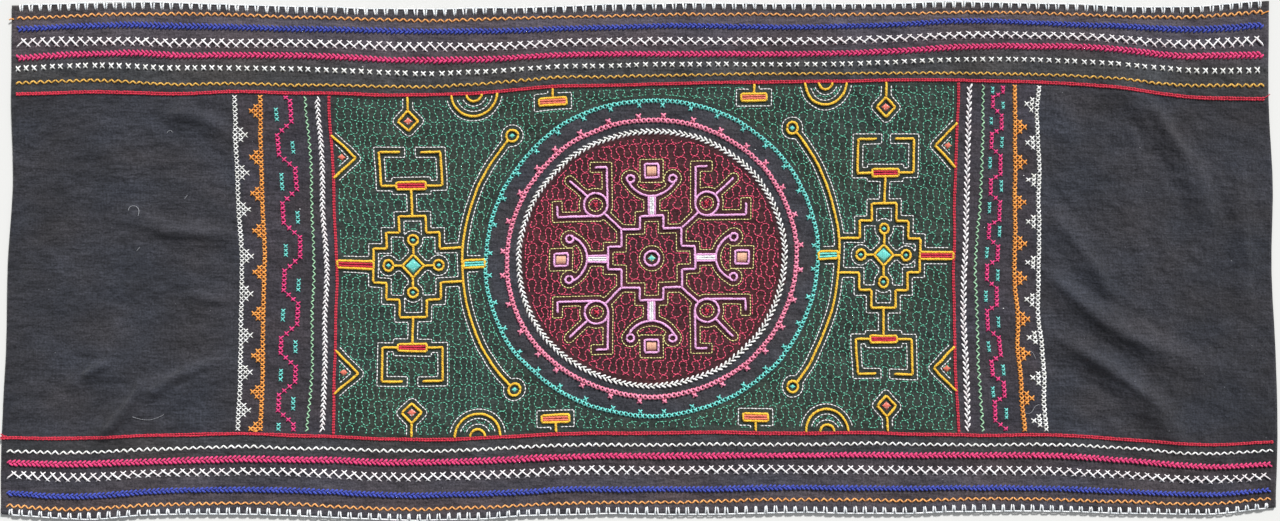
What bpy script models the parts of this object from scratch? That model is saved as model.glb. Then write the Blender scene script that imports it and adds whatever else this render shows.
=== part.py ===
"""Embroidered cloth: one long piece of black cotton that lies spread out on a flat surface.

Units are metres, with +Z up. X runs along the cloth and Y across it. The origin is the middle
of the cloth's box, on the surface that the cloth lies on. The two long edges are turned into
a narrow hem and the two short ends are the selvedges of the fabric.

The cloth is drawn in its own flat coordinates, along and across, and a small warp then lays
it out as uneven as it lies: its edges wave by a few millimetres and a few soft folds stand
up from the plain ends.
"""

from collections import namedtuple

import bmesh
import bpy
import numpy as np

MM = 0.001

# Flat cloth
HALF_LENGTH = 750 * MM
TOP_EDGE = 302.5 * MM
BOTTOM_EDGE = -300.5 * MM
THICKNESS = 1.5 * MM
HEM_WIDTH = 9 * MM
HEM_STEP = 2 * MM
HEM_THICKNESS = 2.2 * MM

# Places of the stitched lines that frame the plain ends and the middle panel
TOP_LINE = 204 * MM
BOTTOM_LINE = -208 * MM
LEFT_PANEL_END = -476 * MM
LEFT_LINE = -363 * MM
RIGHT_LINE = 373 * MM
RIGHT_PANEL_END = 474 * MM

# Mesh cells
FINE_CELL = 12 * MM
COARSE_CELL = 38 * MM
ROW_CELL = 14 * MM
FOLD_STEPS = 16

# How far the long edges and the two framing lines lie off their straight place, in mm
RowWave = namedtuple("RowWave", "along bottom_edge bottom_line top_line top_edge")
ROW_WAVES = (
    RowWave(-752, 0.0, -2.5, -6.5, -0.5),
    RowWave(-658, -5.5, -3.0, -3.5, 1.5),
    RowWave(-564, -1.0, 1.0, -6.5, 2.5),
    RowWave(-470, 0.0, 3.0, -3.0, 0.0),
    RowWave(-376, -2.5, 0.0, -6.0, -3.0),
    RowWave(-282, -6.5, -4.0, -9.0, -5.0),
    RowWave(-188, -4.5, -2.0, -5.5, -4.5),
    RowWave(-94, -0.5, 3.0, 2.5, -1.5),
    RowWave(0, 0.5, 3.5, 4.0, 1.0),
    RowWave(94, 1.0, 4.5, 6.5, 2.0),
    RowWave(188, 2.0, 3.0, 8.0, 1.0),
    RowWave(282, 1.0, 3.5, 10.0, 1.5),
    RowWave(376, 3.5, 2.5, 9.5, 3.0),
    RowWave(470, 4.5, 1.0, 8.5, 2.0),
    RowWave(564, 2.0, -3.5, 2.0, -1.5),
    RowWave(658, 0.0, -10.0, -10.5, -2.0),
    RowWave(752, 8.0, -6.5, -12.5, 5.0),
)

# How far the ends and the upright lines lie off their straight place, in mm
ColumnWave = namedtuple(
    "ColumnWave",
    "across left_end left_panel_end left_line right_line right_panel_end right_end",
)
COLUMN_WAVES = (
    ColumnWave(-300, -7.0, -6.0, -1.0, 6.0, 4.0, 3.0),
    ColumnWave(-200, -5.5, -2.0, 0.0, 4.0, 7.5, 5.0),
    ColumnWave(-100, -0.5, 2.5, 2.5, -1.0, 1.0, 2.5),
    ColumnWave(0, 1.5, 5.0, 3.5, -1.5, -3.0, -2.0),
    ColumnWave(100, 7.5, 0.5, 0.0, 1.0, -3.0, -0.5),
    ColumnWave(200, 5.5, -4.5, -5.0, 4.0, -2.0, -5.5),
    ColumnWave(300, 6.0, -6.0, -6.0, 5.0, 0.0, -5.0),
)

# Soft folds of the plain ends, in mm: each runs from start to end, drawn towards bend
Fold = namedtuple("Fold", "start bend end half_width height")
FOLDS = (
    # Right end, from the top framing line down
    Fold((548, 214), (640, 165), (676, 40), 24, 5.5),
    Fold((700, 120), (724, 40), (712, -60), 20, 3.0),
    Fold((470, 66), (516, 26), (560, -42), 22, 4.0),
    Fold((474, -14), (545, -88), (694, -137), 26, 7.0),
    Fold((472, -84), (562, -118), (656, -225), 27, 7.5),
    # Left end, from the top framing line down
    Fold((-556, 182), (-504, 170), (-470, 112), 20, 3.5),
    Fold((-612, 62), (-566, 24), (-462, 26), 22, 4.0),
    Fold((-680, -152), (-640, -134), (-598, -124), 18, 3.5),
    Fold((-574, -170), (-522, -137), (-462, -122), 22, 4.5),
    Fold((-652, -222), (-610, -186), (-566, -136), 24, 5.0),
)

BLACK_COTTON = (0.052, 0.052, 0.061, 1.0)
COTTON_ROUGHNESS = 0.95


def clear_scene():
    """Leave the scene empty."""
    for thing in list(bpy.data.objects):
        bpy.data.objects.remove(thing)


def smooth_curve(stations, values, at):
    """Read a smooth curve through evenly spaced stations at the places in at."""
    spacing = stations[1] - stations[0]
    place = np.clip((at - stations[0]) / spacing, 0, len(stations) - 1.001)
    left = place.astype(int)
    part = place - left
    padded = np.concatenate([[values[0]], values, [values[-1]]])
    before, start, end, after = (padded[left + step] for step in range(4))
    slope_in = (end - before) / 2
    slope_out = (after - start) / 2
    rise = end - start
    return start + part * (
        slope_in + part * (3 * rise - 2 * slope_in - slope_out)
        + part * part * (slope_in + slope_out - 2 * rise)
    )


def blended(places, offsets, at):
    """Blend one row of offsets for each place, by where each value of at lies between them."""
    places = np.array(places)
    left = np.clip(np.searchsorted(places, at) - 1, 0, len(places) - 2)
    part = np.clip((at - places[left]) / (places[left + 1] - places[left]), 0, 1)
    index = np.arange(len(at))
    return offsets[left, index] * (1 - part) + offsets[left + 1, index] * part


def waves_at(table, at):
    """Give the offset of each line of a wave table at the places in at, in metres."""
    rows = np.array(table) * MM
    return np.array(
        [smooth_curve(rows[:, 0], rows[:, column], at) for column in range(1, rows.shape[1])]
    )


def laid_out(along, across):
    """Turn flat coordinates into where they lie on the surface."""
    row_places = (BOTTOM_EDGE, BOTTOM_LINE, TOP_LINE, TOP_EDGE)
    column_places = (
        -HALF_LENGTH, LEFT_PANEL_END, LEFT_LINE, RIGHT_LINE, RIGHT_PANEL_END, HALF_LENGTH,
    )
    x = along + blended(column_places, waves_at(COLUMN_WAVES, across), along)
    y = across + blended(row_places, waves_at(ROW_WAVES, along), across)
    return x, y


def distance_to_fold(fold, x, y):
    """Give how far each point is from a fold's line, and where along the line it is, 0 to 1."""
    share = np.linspace(0, 1, FOLD_STEPS + 1)[:, None]
    start, bend, end = (np.array(point) * MM for point in (fold.start, fold.bend, fold.end))
    line = start * (1 - share) ** 2 + 2 * bend * share * (1 - share) + end * share**2
    nearest = np.full(len(x), np.inf)
    along = np.zeros(len(x))
    for step in range(FOLD_STEPS):
        first = line[step]
        run = line[step + 1] - first
        part = ((x - first[0]) * run[0] + (y - first[1]) * run[1]) / (run @ run)
        part = np.clip(part, 0, 1)
        away = np.hypot(x - first[0] - part * run[0], y - first[1] - part * run[1])
        closer = away < nearest
        nearest[closer] = away[closer]
        along[closer] = (step + part[closer]) / FOLD_STEPS
    return nearest, along


def fold_height(x, y):
    """Give the height of the cloth's underside above the surface."""
    height = np.zeros(len(x))
    for fold in FOLDS:
        away, along = distance_to_fold(fold, x, y)
        across = np.clip(1 - (away / (fold.half_width * MM)) ** 2, 0, 1)
        fade = 1 - (2 * along - 1) ** 4
        height += fold.height * MM * across**2 * fade
    return height


def stations_between(start, end, cell):
    """Give evenly spaced stations from start up to, but without, end."""
    count = max(1, round((end - start) / cell))
    return [start + (end - start) * step / count for step in range(count)]


def grid_stations():
    """Give the stations of the mesh along and across the cloth."""
    along = (
        stations_between(-HALF_LENGTH, LEFT_PANEL_END + FINE_CELL, FINE_CELL)
        + stations_between(LEFT_PANEL_END + FINE_CELL, RIGHT_PANEL_END - FINE_CELL, COARSE_CELL)
        + stations_between(RIGHT_PANEL_END - FINE_CELL, HALF_LENGTH, FINE_CELL)
        + [HALF_LENGTH]
    )
    bottom_hem = BOTTOM_EDGE + HEM_WIDTH
    top_hem = TOP_EDGE - HEM_WIDTH
    across = (
        [BOTTOM_EDGE, bottom_hem]
        + stations_between(bottom_hem + HEM_STEP, top_hem - HEM_STEP, ROW_CELL)
        + [top_hem - HEM_STEP, top_hem, TOP_EDGE]
    )
    return np.array(along), np.array(across)


def underside_mesh():
    """Make the underside as one grid, and list which of its points lie in a hem."""
    along, across = grid_stations()
    flat_along, flat_across = (grid.ravel() for grid in np.meshgrid(along, across))
    x, y = laid_out(flat_along, flat_across)
    x -= (x.min() + x.max()) / 2
    y -= (y.min() + y.max()) / 2
    height = fold_height(x, y)
    mesh = bpy.data.meshes.new("cloth")
    grid = bmesh.new()
    points = [grid.verts.new(point) for point in zip(x, y, height)]
    for row in range(len(across) - 1):
        for column in range(len(along) - 1):
            corner = row * len(along) + column
            above = corner + len(along)
            grid.faces.new([points[i] for i in (corner, corner + 1, above + 1, above)])
    grid.to_mesh(mesh)
    grid.free()
    slack = HEM_STEP / 4
    in_hem = (flat_across < BOTTOM_EDGE + HEM_WIDTH + slack) | (
        flat_across > TOP_EDGE - HEM_WIDTH - slack
    )
    return mesh, [int(i) for i in np.flatnonzero(in_hem)]


def cotton():
    """Make the plain material of the black cotton."""
    material = bpy.data.materials.new("black_cotton")
    material.use_nodes = True
    shader = material.node_tree.nodes["Principled BSDF"]
    shader.inputs["Base Color"].default_value = BLACK_COTTON
    shader.inputs["Roughness"].default_value = COTTON_ROUGHNESS
    shader.inputs["Metallic"].default_value = 0.0
    return material


def make_cloth():
    """Make the cloth: its underside thickened upwards, more so along the two hems."""
    mesh, hem_points = underside_mesh()
    cloth = bpy.data.objects.new("cloth", mesh)
    bpy.context.scene.collection.objects.link(cloth)
    hem = cloth.vertex_groups.new(name="hem")
    hem.add(hem_points, 1.0, "REPLACE")
    body = cloth.modifiers.new("thickness", "SOLIDIFY")
    body.thickness = HEM_THICKNESS
    body.offset = 1.0
    body.vertex_group = hem.name
    body.thickness_vertex_group = THICKNESS / HEM_THICKNESS
    mesh.materials.append(cotton())
    mesh.shade_smooth()


clear_scene()
make_cloth()
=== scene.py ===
"""Looks of the embroidered cloth: black cotton, hand stitched with bright cotton thread.

Everything is drawn in the cloth's own flat coordinates, in millimetres: along it from left to
right, and across it from the lower long edge to the upper one. on_cloth() then lays a point
out where it lies on the warped and folded cloth, in metres, so that each stitch sits on the
cloth that carries it.
"""

from collections import namedtuple
from math import cos, pi, radians, sin

import bpy
import numpy as np
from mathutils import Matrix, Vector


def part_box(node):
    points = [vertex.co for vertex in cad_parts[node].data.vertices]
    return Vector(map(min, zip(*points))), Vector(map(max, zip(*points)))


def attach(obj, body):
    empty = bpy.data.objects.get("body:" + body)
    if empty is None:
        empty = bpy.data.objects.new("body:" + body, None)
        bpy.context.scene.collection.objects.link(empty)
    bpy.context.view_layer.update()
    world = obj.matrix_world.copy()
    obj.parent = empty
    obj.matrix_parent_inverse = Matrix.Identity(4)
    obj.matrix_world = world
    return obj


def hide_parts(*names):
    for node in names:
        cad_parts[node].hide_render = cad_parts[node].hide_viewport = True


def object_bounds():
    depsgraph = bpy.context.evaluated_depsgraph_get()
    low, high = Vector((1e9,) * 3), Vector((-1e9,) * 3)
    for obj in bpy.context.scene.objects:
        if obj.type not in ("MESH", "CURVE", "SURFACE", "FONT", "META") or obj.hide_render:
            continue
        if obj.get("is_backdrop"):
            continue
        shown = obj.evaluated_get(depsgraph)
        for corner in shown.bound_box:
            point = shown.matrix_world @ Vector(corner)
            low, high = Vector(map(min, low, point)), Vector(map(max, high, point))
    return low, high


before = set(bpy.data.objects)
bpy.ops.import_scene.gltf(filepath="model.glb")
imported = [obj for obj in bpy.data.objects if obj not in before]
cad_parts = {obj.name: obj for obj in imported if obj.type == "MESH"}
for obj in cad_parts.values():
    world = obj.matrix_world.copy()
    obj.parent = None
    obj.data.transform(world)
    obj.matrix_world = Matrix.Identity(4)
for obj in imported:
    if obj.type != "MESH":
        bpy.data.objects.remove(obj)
CAD_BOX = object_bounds()

MM = 0.001

# Flat cloth, as in the solid
HALF_LENGTH = 750
TOP_EDGE = 302.5
BOTTOM_EDGE = -300.5
THICKNESS = 1.5
HEM_WIDTH = 9
HEM_STEP = 2
HEM_RISE = 0.7

# Places of the stitched lines that frame the plain ends and the middle panel
TOP_LINE = 204
BOTTOM_LINE = -208
LEFT_PANEL_END = -476
LEFT_LINE = -363
RIGHT_LINE = 373
RIGHT_PANEL_END = 474

# Medallion: its centre, and half the width and height of its rings
CENTRE = np.array([12.8, -1.5])
TURQUOISE_RING = (198.2, 186.6)
PINK_RING = (172.6, 163.8)
CREAM_RING = (158.4, 150.6)

# Photo frame: its size in pixels, and how much cloth one pixel shows
PHOTO_WIDTH = 1280
PHOTO_PIXEL = 1.186

# How far the cloth lies off its straight place, at places along it: the bottom edge, the
# bottom and top framing lines, and the top edge
ROW_WAVES = (
    (-752, 0.0, -2.5, -8.0, -0.5),
    (-658, -5.5, -3.0, -4.5, 1.5),
    (-564, -1.0, 1.0, -6.5, 2.5),
    (-470, 0.0, 2.5, -4.5, 0.0),
    (-376, -2.5, 0.0, -6.0, -3.0),
    (-282, -6.5, -4.0, -9.0, -5.0),
    (-188, -4.5, -2.0, -5.5, -4.5),
    (-94, -0.5, 3.0, 2.5, -1.5),
    (0, 0.5, 3.5, 4.0, 1.0),
    (94, 1.0, 4.5, 6.5, 2.0),
    (188, 2.0, 3.0, 8.0, 1.0),
    (282, 1.0, 3.5, 9.0, 1.5),
    (376, 3.5, 1.0, 9.5, 3.0),
    (470, 4.5, 1.0, 7.5, 2.0),
    (564, 2.0, -3.5, 2.0, -1.5),
    (658, 0.0, -10.0, -10.5, -2.0),
    (752, 8.0, -6.5, -12.5, 5.0),
)

# The same at places across it: the left end, the left panel end, the left and right framing
# lines, the right panel end and the right end
COLUMN_WAVES = (
    (-300, -7.0, -6.0, -1.0, 6.0, 4.0, 3.0),
    (-200, -5.5, -2.0, 0.0, 4.0, 7.5, 5.0),
    (-100, -0.5, 2.5, 2.5, -1.0, 1.0, 2.5),
    (0, 1.5, 5.0, 3.5, -1.5, -3.0, -2.0),
    (100, 7.5, 0.5, 0.0, 1.0, -3.0, -0.5),
    (200, 5.5, -4.5, -5.0, 4.0, -2.0, -5.5),
    (300, 6.0, -6.0, -6.0, 5.0, 0.0, -5.0),
)

# Soft folds of the plain ends, as in the solid: the start of each, the place that it is drawn
# towards, its end, half its width and its height
FOLD_STEPS = 16
FOLDS = (
    # Right end, from the top framing line down
    ((548, 214), (640, 165), (676, 40), 24, 5.5),
    ((700, 120), (724, 40), (712, -60), 20, 3.0),
    ((470, 66), (516, 26), (560, -42), 22, 4.0),
    ((474, -14), (545, -88), (694, -137), 26, 7.0),
    ((472, -84), (562, -118), (656, -225), 27, 7.5),
    # Left end, from the top framing line down
    ((-556, 182), (-504, 170), (-470, 112), 20, 3.5),
    ((-612, 62), (-566, 24), (-462, 26), 22, 4.0),
    ((-680, -152), (-640, -134), (-598, -124), 18, 3.5),
    ((-574, -170), (-522, -137), (-462, -122), 22, 4.5),
    ((-652, -222), (-610, -186), (-566, -136), 24, 5.0),
)

# Finer creases of the plain ends, which the solid leaves out
CREASES = (
    # Right end
    ((599, 191), (630, 144), (648, 117), 10, 3.2),
    ((576, 166), (593, 123), (600, 100), 9, 2.0),
    ((683, 108), (690, 88), (694, 70), 8, 1.6),
    ((713, 46), (717, 20), (719, -8), 8, 1.6),
    ((482, 53), (543, 1), (559, -50), 9, 3.0),
    ((482, -9), (537, -82), (634, -114), 10, 3.8),
    ((482, -86), (565, -131), (628, -180), 10, 4.4),
    ((646, 182), (660, 160), (668, 146), 8, 1.4),
    ((668, -120), (700, -128), (728, -150), 12, 1.4),
    ((520, -190), (560, -176), (592, -150), 9, 1.5),
    ((610, 40), (628, 8), (660, -30), 12, 1.3),
    # Left end
    ((-572, 166), (-518, 184), (-474, 140), 10, 4.0),
    ((-588, 42), (-540, 28), (-478, 34), 10, 4.6),
    ((-538, -38), (-510, -50), (-484, -46), 9, 4.8),
    ((-660, -138), (-640, -130), (-624, -116), 9, 5.8),
    ((-582, -163), (-546, -128), (-484, -118), 10, 7.2),
    ((-638, -212), (-606, -182), (-586, -144), 9, 6.0),
    ((-690, -88), (-674, -92), (-660, -104), 8, 1.2),
    ((-700, 120), (-672, 84), (-660, 30), 13, 1.2),
)

# Gentle unevenness everywhere: the seed, size along, size across and height of its bumps.
# It dies out towards the long edges over EDGE_CALM, down to a small share of itself.
PUCKERS = ((3, 64, 52, 1.1), (5, 27, 44, 0.75), (8, 17, 15, 0.4))
EDGE_CALM = 40
EDGE_SHARE = 0.15

# Thread colours as they look in daylight, red, green and blue out of 255
COLOURS = {
    "pale_blue": (230, 238, 243),
    "orange": (248, 154, 64),
    "light_orange": (246, 164, 92),
    "blue": (50, 66, 164),
    "pale_pink": (255, 241, 241),
    "hot_pink": (214, 52, 112),
    "cream": (248, 248, 236),
    "yellow": (216, 168, 72),
    "red": (194, 32, 60),
    "white": (252, 250, 249),
    "magenta": (226, 54, 124),
    "turquoise": (108, 210, 200),
    "leaf_green": (160, 208, 168),
    "ring_pink": (246, 132, 160),
    "gold": (246, 184, 46),
    "teal_green": (104, 194, 162),
    "crimson": (232, 82, 116),
    "violet": (230, 166, 214),
    "straw": (252, 230, 150),
    "salmon": (226, 118, 96),
    "peach": (238, 180, 150),
    "lint": (176, 178, 184),
}

# Colours of the ground in its parts, and in the two bands at places across the cloth
PLAIN_TONE = (52, 52, 57)
COLUMN_TONE = (58, 54, 59)
RING_TONE = (57, 56, 60)
GREEN_TONE = (49, 57, 51)
MAROON_TONE = (66, 35, 38)
BAND_TONES = {
    -300: (67, 65, 69),
    -282: (73, 65, 68),
    -262: (68, 65, 70),
    -246: (60, 53, 57),
    -224: (56, 55, 56),
    -208: (57, 56, 58),
    204: (57, 57, 59),
    232: (65, 64, 64),
    252: (72, 63, 67),
    268: (74, 68, 73),
    284: (83, 76, 82),
    300: (65, 62, 63),
}


def linear(colour):
    """Turn a colour out of 255 into the linear values that a shader takes."""
    share = np.array(colour) / 255
    return np.where(share <= 0.04045, share / 12.92, ((share + 0.055) / 1.055) ** 2.4)


# Where things lie


def smooth_curves(stations, values, at):
    """Read smooth curves through evenly spaced stations, one column for each curve."""
    place = (at - stations[0]) / (stations[1] - stations[0])
    place = np.clip(place, 0, len(stations) - 1.001)
    left = place.astype(int)
    part = (place - left)[:, None]
    padded = np.vstack([values[:1], values, values[-1:]])
    before, start, end, after = (padded[left + step] for step in range(4))
    slope_in = (end - before) / 2
    slope_out = (after - start) / 2
    rise = end - start
    return start + part * (
        slope_in + part * (3 * rise - 2 * slope_in - slope_out)
        + part * part * (slope_in + slope_out - 2 * rise)
    )


def wave_offset(table, places, at, across):
    """Blend a wave table's columns: how far off it lies at each place along and across."""
    rows = np.array(table)
    offsets = smooth_curves(rows[:, 0], rows[:, 1:], at)
    places = np.array(places)
    left = np.clip(np.searchsorted(places, across) - 1, 0, len(places) - 2)
    part = np.clip((across - places[left]) / (places[left + 1] - places[left]), 0, 1)
    index = np.arange(len(at))
    return offsets[index, left] * (1 - part) + offsets[index, left + 1] * part


def warped(flat):
    """Give where flat points lie on the surface before the cloth is centred."""
    along, across = flat.T
    row_places = (BOTTOM_EDGE, BOTTOM_LINE, TOP_LINE, TOP_EDGE)
    column_places = (
        -HALF_LENGTH, LEFT_PANEL_END, LEFT_LINE, RIGHT_LINE, RIGHT_PANEL_END, HALF_LENGTH,
    )
    x = along + wave_offset(COLUMN_WAVES, column_places, across, along)
    y = across + wave_offset(ROW_WAVES, row_places, along, across)
    return np.stack([x, y], 1)


def centring_shift():
    """Give the move that puts the middle of the cloth where the middle of the solid is."""
    along = np.arange(-HALF_LENGTH, HALF_LENGTH + 5, 5)
    across = np.linspace(BOTTOM_EDGE, TOP_EDGE, 120)
    edge = [(u, v) for u in along for v in (BOTTOM_EDGE, TOP_EDGE)]
    edge += [(u, v) for u in (-HALF_LENGTH, HALF_LENGTH) for v in across]
    edge = warped(np.array(edge))
    low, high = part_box("cloth")
    middle = np.array([low.x + high.x, low.y + high.y]) / 2 / MM
    return middle - (edge.min(0) + edge.max(0)) / 2


SHIFT = centring_shift()


def bent_line(start, bend, end, steps):
    """Give points along a smooth line from start to end that is drawn towards bend."""
    share = np.linspace(0, 1, steps)[:, None]
    start, bend, end = (np.array(point, float) for point in (start, bend, end))
    return start * (1 - share) ** 2 + 2 * bend * share * (1 - share) + end * share**2


def from_segment(u, v, start, end):
    """Give how far places are from a straight line, and the share of it where they are."""
    run = np.subtract(end, start)
    gap_u, gap_v = u - start[0], v - start[1]
    part = np.clip((gap_u * run[0] + gap_v * run[1]) / (run @ run), 0, 1)
    return np.hypot(gap_u - part * run[0], gap_v - part * run[1]), part


def fold_height(x, y):
    """Give how high the folds and creases lift the cloth."""
    height = np.zeros(len(x))
    for start, bend, end, half_width, rise in FOLDS + CREASES:
        line = bent_line(start, bend, end, FOLD_STEPS + 1)
        low = line.min(0) - half_width
        high = line.max(0) + half_width
        near = np.flatnonzero((x > low[0]) & (x < high[0]) & (y > low[1]) & (y < high[1]))
        nearest = np.full(len(near), np.inf)
        along = np.zeros(len(near))
        for step in range(FOLD_STEPS):
            away, part = from_segment(x[near], y[near], line[step], line[step + 1])
            closer = away < nearest
            nearest[closer] = away[closer]
            along[closer] = (step + part[closer]) / FOLD_STEPS
        across = np.clip(1 - (nearest / half_width) ** 2, 0, 1)
        height[near] += rise * across**2 * (1 - (2 * along - 1) ** 4)
    return height


def value_noise(seed, x, y, along, across):
    """Give smooth seeded noise from 0 to 1, in bumps of a size along and across."""
    shape = (int(2 * TOP_EDGE / across) + 6, int(2 * HALF_LENGTH / along) + 6)
    lattice = np.random.default_rng(seed).random(shape)
    column = x / along + shape[1] / 2
    row = y / across + shape[0] / 2
    left = np.clip(column.astype(int), 0, shape[1] - 2)
    below = np.clip(row.astype(int), 0, shape[0] - 2)
    right, top = (
        part**3 * (part * (6 * part - 15) + 10)
        for part in (np.clip(column - left, 0, 1), np.clip(row - below, 0, 1))
    )
    lower = lattice[below, left] * (1 - right) + lattice[below, left + 1] * right
    upper = lattice[below + 1, left] * (1 - right) + lattice[below + 1, left + 1] * right
    return lower * (1 - top) + upper * top


def pucker_height(x, y):
    """Give the gentle unevenness that hand stitching and use leave, least along the edges."""
    share = np.clip((TOP_EDGE - np.abs(y)) / EDGE_CALM, EDGE_SHARE, 1)
    return share * sum(
        height * value_noise(seed, x, y, along, across) for seed, along, across, height in PUCKERS
    )


def hand_drift(flat):
    """Give how far hand work strays from its drawn place, in both directions."""
    wide = [value_noise(seed, *flat.T, 46, 40) - 0.5 for seed in (61, 62)]
    from_row_to_row = value_noise(63, *flat.T, 55, 9) - 0.5
    return np.stack([1.5 * wide[0], wide[1] + 1.3 * from_row_to_row], 1)


def on_cloth(flat, lift, of_underside=False):
    """Lay flat points out on the cloth, lift millimetres above its face, in metres."""
    place = warped(flat) + SHIFT
    height = fold_height(*place.T) + pucker_height(*place.T)
    if not of_underside:
        from_edge = np.minimum(TOP_EDGE - flat[:, 1], flat[:, 1] - BOTTOM_EDGE)
        hem = np.clip((HEM_WIDTH + HEM_STEP - from_edge) / HEM_STEP, 0, 1)
        height = height + THICKNESS + HEM_RISE * hem
    return np.column_stack([place, height + lift]) * MM


# Meshes


def new_mesh(name, points, *groups):
    """Make a smooth shaded mesh from its points and groups of faces with as many corners."""
    corners = np.concatenate([group.ravel() for group in groups])
    counts = np.concatenate([np.full(len(group), group.shape[1]) for group in groups])
    starts = np.cumsum(counts) - counts
    mesh = bpy.data.meshes.new(name)
    mesh.vertices.add(len(points))
    mesh.vertices.foreach_set("co", np.ascontiguousarray(points, np.float32).ravel())
    mesh.loops.add(len(corners))
    mesh.loops.foreach_set("vertex_index", corners.astype(np.int32))
    mesh.polygons.add(len(counts))
    mesh.polygons.foreach_set("loop_start", starts.astype(np.int32))
    mesh.update(calc_edges=True)
    mesh.shade_smooth()
    return mesh


def put_in_scene(name, data):
    """Make an object of its data and link it to the scene."""
    thing = bpy.data.objects.new(name, data)
    bpy.context.scene.collection.objects.link(thing)
    return thing


def new_piece(name, mesh, material):
    """Put a mesh in the scene as a piece that rides with the cloth."""
    piece = put_in_scene(name, mesh)
    mesh.materials.append(material)
    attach(piece, "root")
    return piece


# How a strand's centre rises, in halves of its width, and how it narrows from end to end
Profile = namedtuple("Profile", "lift taper")
ARCHED = Profile((-0.35, 0.75, 0.75, -0.35), (0.6, 1.0, 1.0, 0.6))
UPPER = Profile((-0.3, 1.35, 1.35, -0.3), (0.6, 1.0, 1.0, 0.6))
SHORT = Profile((-0.3, 0.5, -0.3), (0.55, 1.0, 0.55))
HAIR = Profile((0.5,) * 9, (1.0,) * 9)


class Threads:
    """The strands of one piece: swept threads that dip into the cloth at both ends."""

    def __init__(self, name, colour, seed):
        self.name = name
        self.colour = colour
        self.random = np.random.default_rng(seed)
        self.points = []
        self.values = []
        self.quads = []
        self.caps = {}
        self.count = 0

    def add(self, paths, width, profile=ARCHED, sides=5, jitter=0.25, height=0.75, lift=0.0):
        """Add one strand for each path, given as its flat points from end to end."""
        paths = np.asarray(paths, float)
        if not len(paths):
            return
        strands, rings = paths.shape[:2]
        draw = self.random.uniform
        paths = paths + draw(-jitter, jitter, (strands, 1, 2))
        turn = draw(-jitter, jitter, (strands, 1, 2)) * 0.6
        paths = paths + turn * np.linspace(-1, 1, rings)[None, :, None]
        paths = paths + hand_drift(paths.reshape(-1, 2)).reshape(paths.shape)
        half = width * draw(0.95, 1.2, strands)[:, None] / 2
        heading = np.gradient(paths, axis=1)
        heading /= np.maximum(np.linalg.norm(heading, axis=2, keepdims=True), 1e-9)
        left = np.stack([-heading[..., 1], heading[..., 0]], 2)
        angles = 2 * pi * (np.arange(sides) + 0.5) / sides
        radius = (half * np.array(profile.taper))[..., None]
        centre = (half * np.array(profile.lift))[..., None]
        out = radius * np.cos(angles)
        flat = paths[:, :, None] + left[:, :, None] * out[..., None]
        rise = radius * np.sin(angles) * height + centre + lift
        self.points.append(on_cloth(flat.reshape(-1, 2), rise.ravel()))
        steps = np.linalg.norm(np.diff(paths, axis=1), axis=2)
        run = np.pad(np.cumsum(steps, 1), ((0, 0), (1, 0)))
        values = np.empty((strands, rings, sides, 3))
        values[..., 0] = run[:, :, None] + draw(0, 9, (strands, 1, 1))
        values[..., 1] = np.cos(angles)
        values[..., 2] = draw(-1, 1, (strands, 1, 1))
        self.values.append(values.reshape(-1, 3))
        index = self.count + np.arange(strands * rings * sides).reshape(strands, rings, sides)
        after = np.roll(index, -1, axis=2)
        quads = np.stack([index[:, :-1], after[:, :-1], after[:, 1:], index[:, 1:]], -1)
        self.quads.append(quads.reshape(-1, 4))
        ends = np.concatenate([index[:, 0, ::-1], index[:, -1]])
        self.caps.setdefault(sides, []).append(ends)
        self.count += index.size

    def finish(self):
        """Make the piece from all its strands."""
        ends = [np.concatenate(faces) for faces in self.caps.values()]
        points = np.concatenate(self.points)
        mesh = new_mesh(self.name, points, np.concatenate(self.quads), *ends)
        values = np.concatenate(self.values).astype(np.float32)
        strand = mesh.attributes.new("strand", "FLOAT_VECTOR", "POINT")
        strand.data.foreach_set("vector", values.ravel())
        return new_piece(self.name, mesh, thread_material(self.colour))


def stitched(name, colour, seed, stitch, *courses, **sizes):
    """Make one piece: the same stitch, in the same sizes, on each of its courses."""
    threads = Threads(name, colour, seed)
    for course in courses:
        stitch(threads, course, **sizes)
    return threads.finish()


# Courses: each turns places along and beside a row of stitches into flat points. Beside is to
# the left of the way that the row runs.


class Straight:
    """A straight row from start to end."""

    def __init__(self, start, end):
        self.start = np.array(start, float)
        run = np.array(end, float) - self.start
        self.length = float(np.hypot(*run))
        self.heading = run / self.length
        self.left = np.array([-self.heading[1], self.heading[0]])

    def at(self, along, beside):
        return self.start + along[..., None] * self.heading + beside[..., None] * self.left


class Curve:
    """A row along a line of close points, some of which may be one and the same."""

    def __init__(self, points):
        points = np.array(points, float)
        steps = np.linalg.norm(np.diff(points, axis=0), axis=1)
        moved = steps > 1e-4
        self.points = points[np.concatenate([[True], moved])]
        self.places = np.concatenate([[0], np.cumsum(steps[moved])])
        self.length = float(self.places[-1])
        heading = np.gradient(self.points, self.places, axis=0)
        heading /= np.linalg.norm(heading, axis=1, keepdims=True)
        self.left = np.stack([-heading[:, 1], heading[:, 0]], 1)

    def at(self, along, beside):
        along = np.clip(along, 0, self.length)
        middle, left = (
            np.stack([np.interp(along, self.places, part) for part in table.T], -1)
            for table in (self.points, self.left)
        )
        return middle + left * beside[..., None]


class Ring(Curve):
    """A closed ring round the medallion, run clockwise, so that beside is outwards."""

    def __init__(self, half_width, half_height, steps=720):
        angle = pi / 2 - np.linspace(0, 2 * pi, steps + 1)
        size = np.array([half_width, half_height])
        super().__init__(CENTRE + size * np.stack([np.cos(angle), np.sin(angle)], 1))

    def at(self, along, beside):
        return super().at(np.mod(along, self.length), beside)


# Stitches, each drawn on a course


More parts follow.
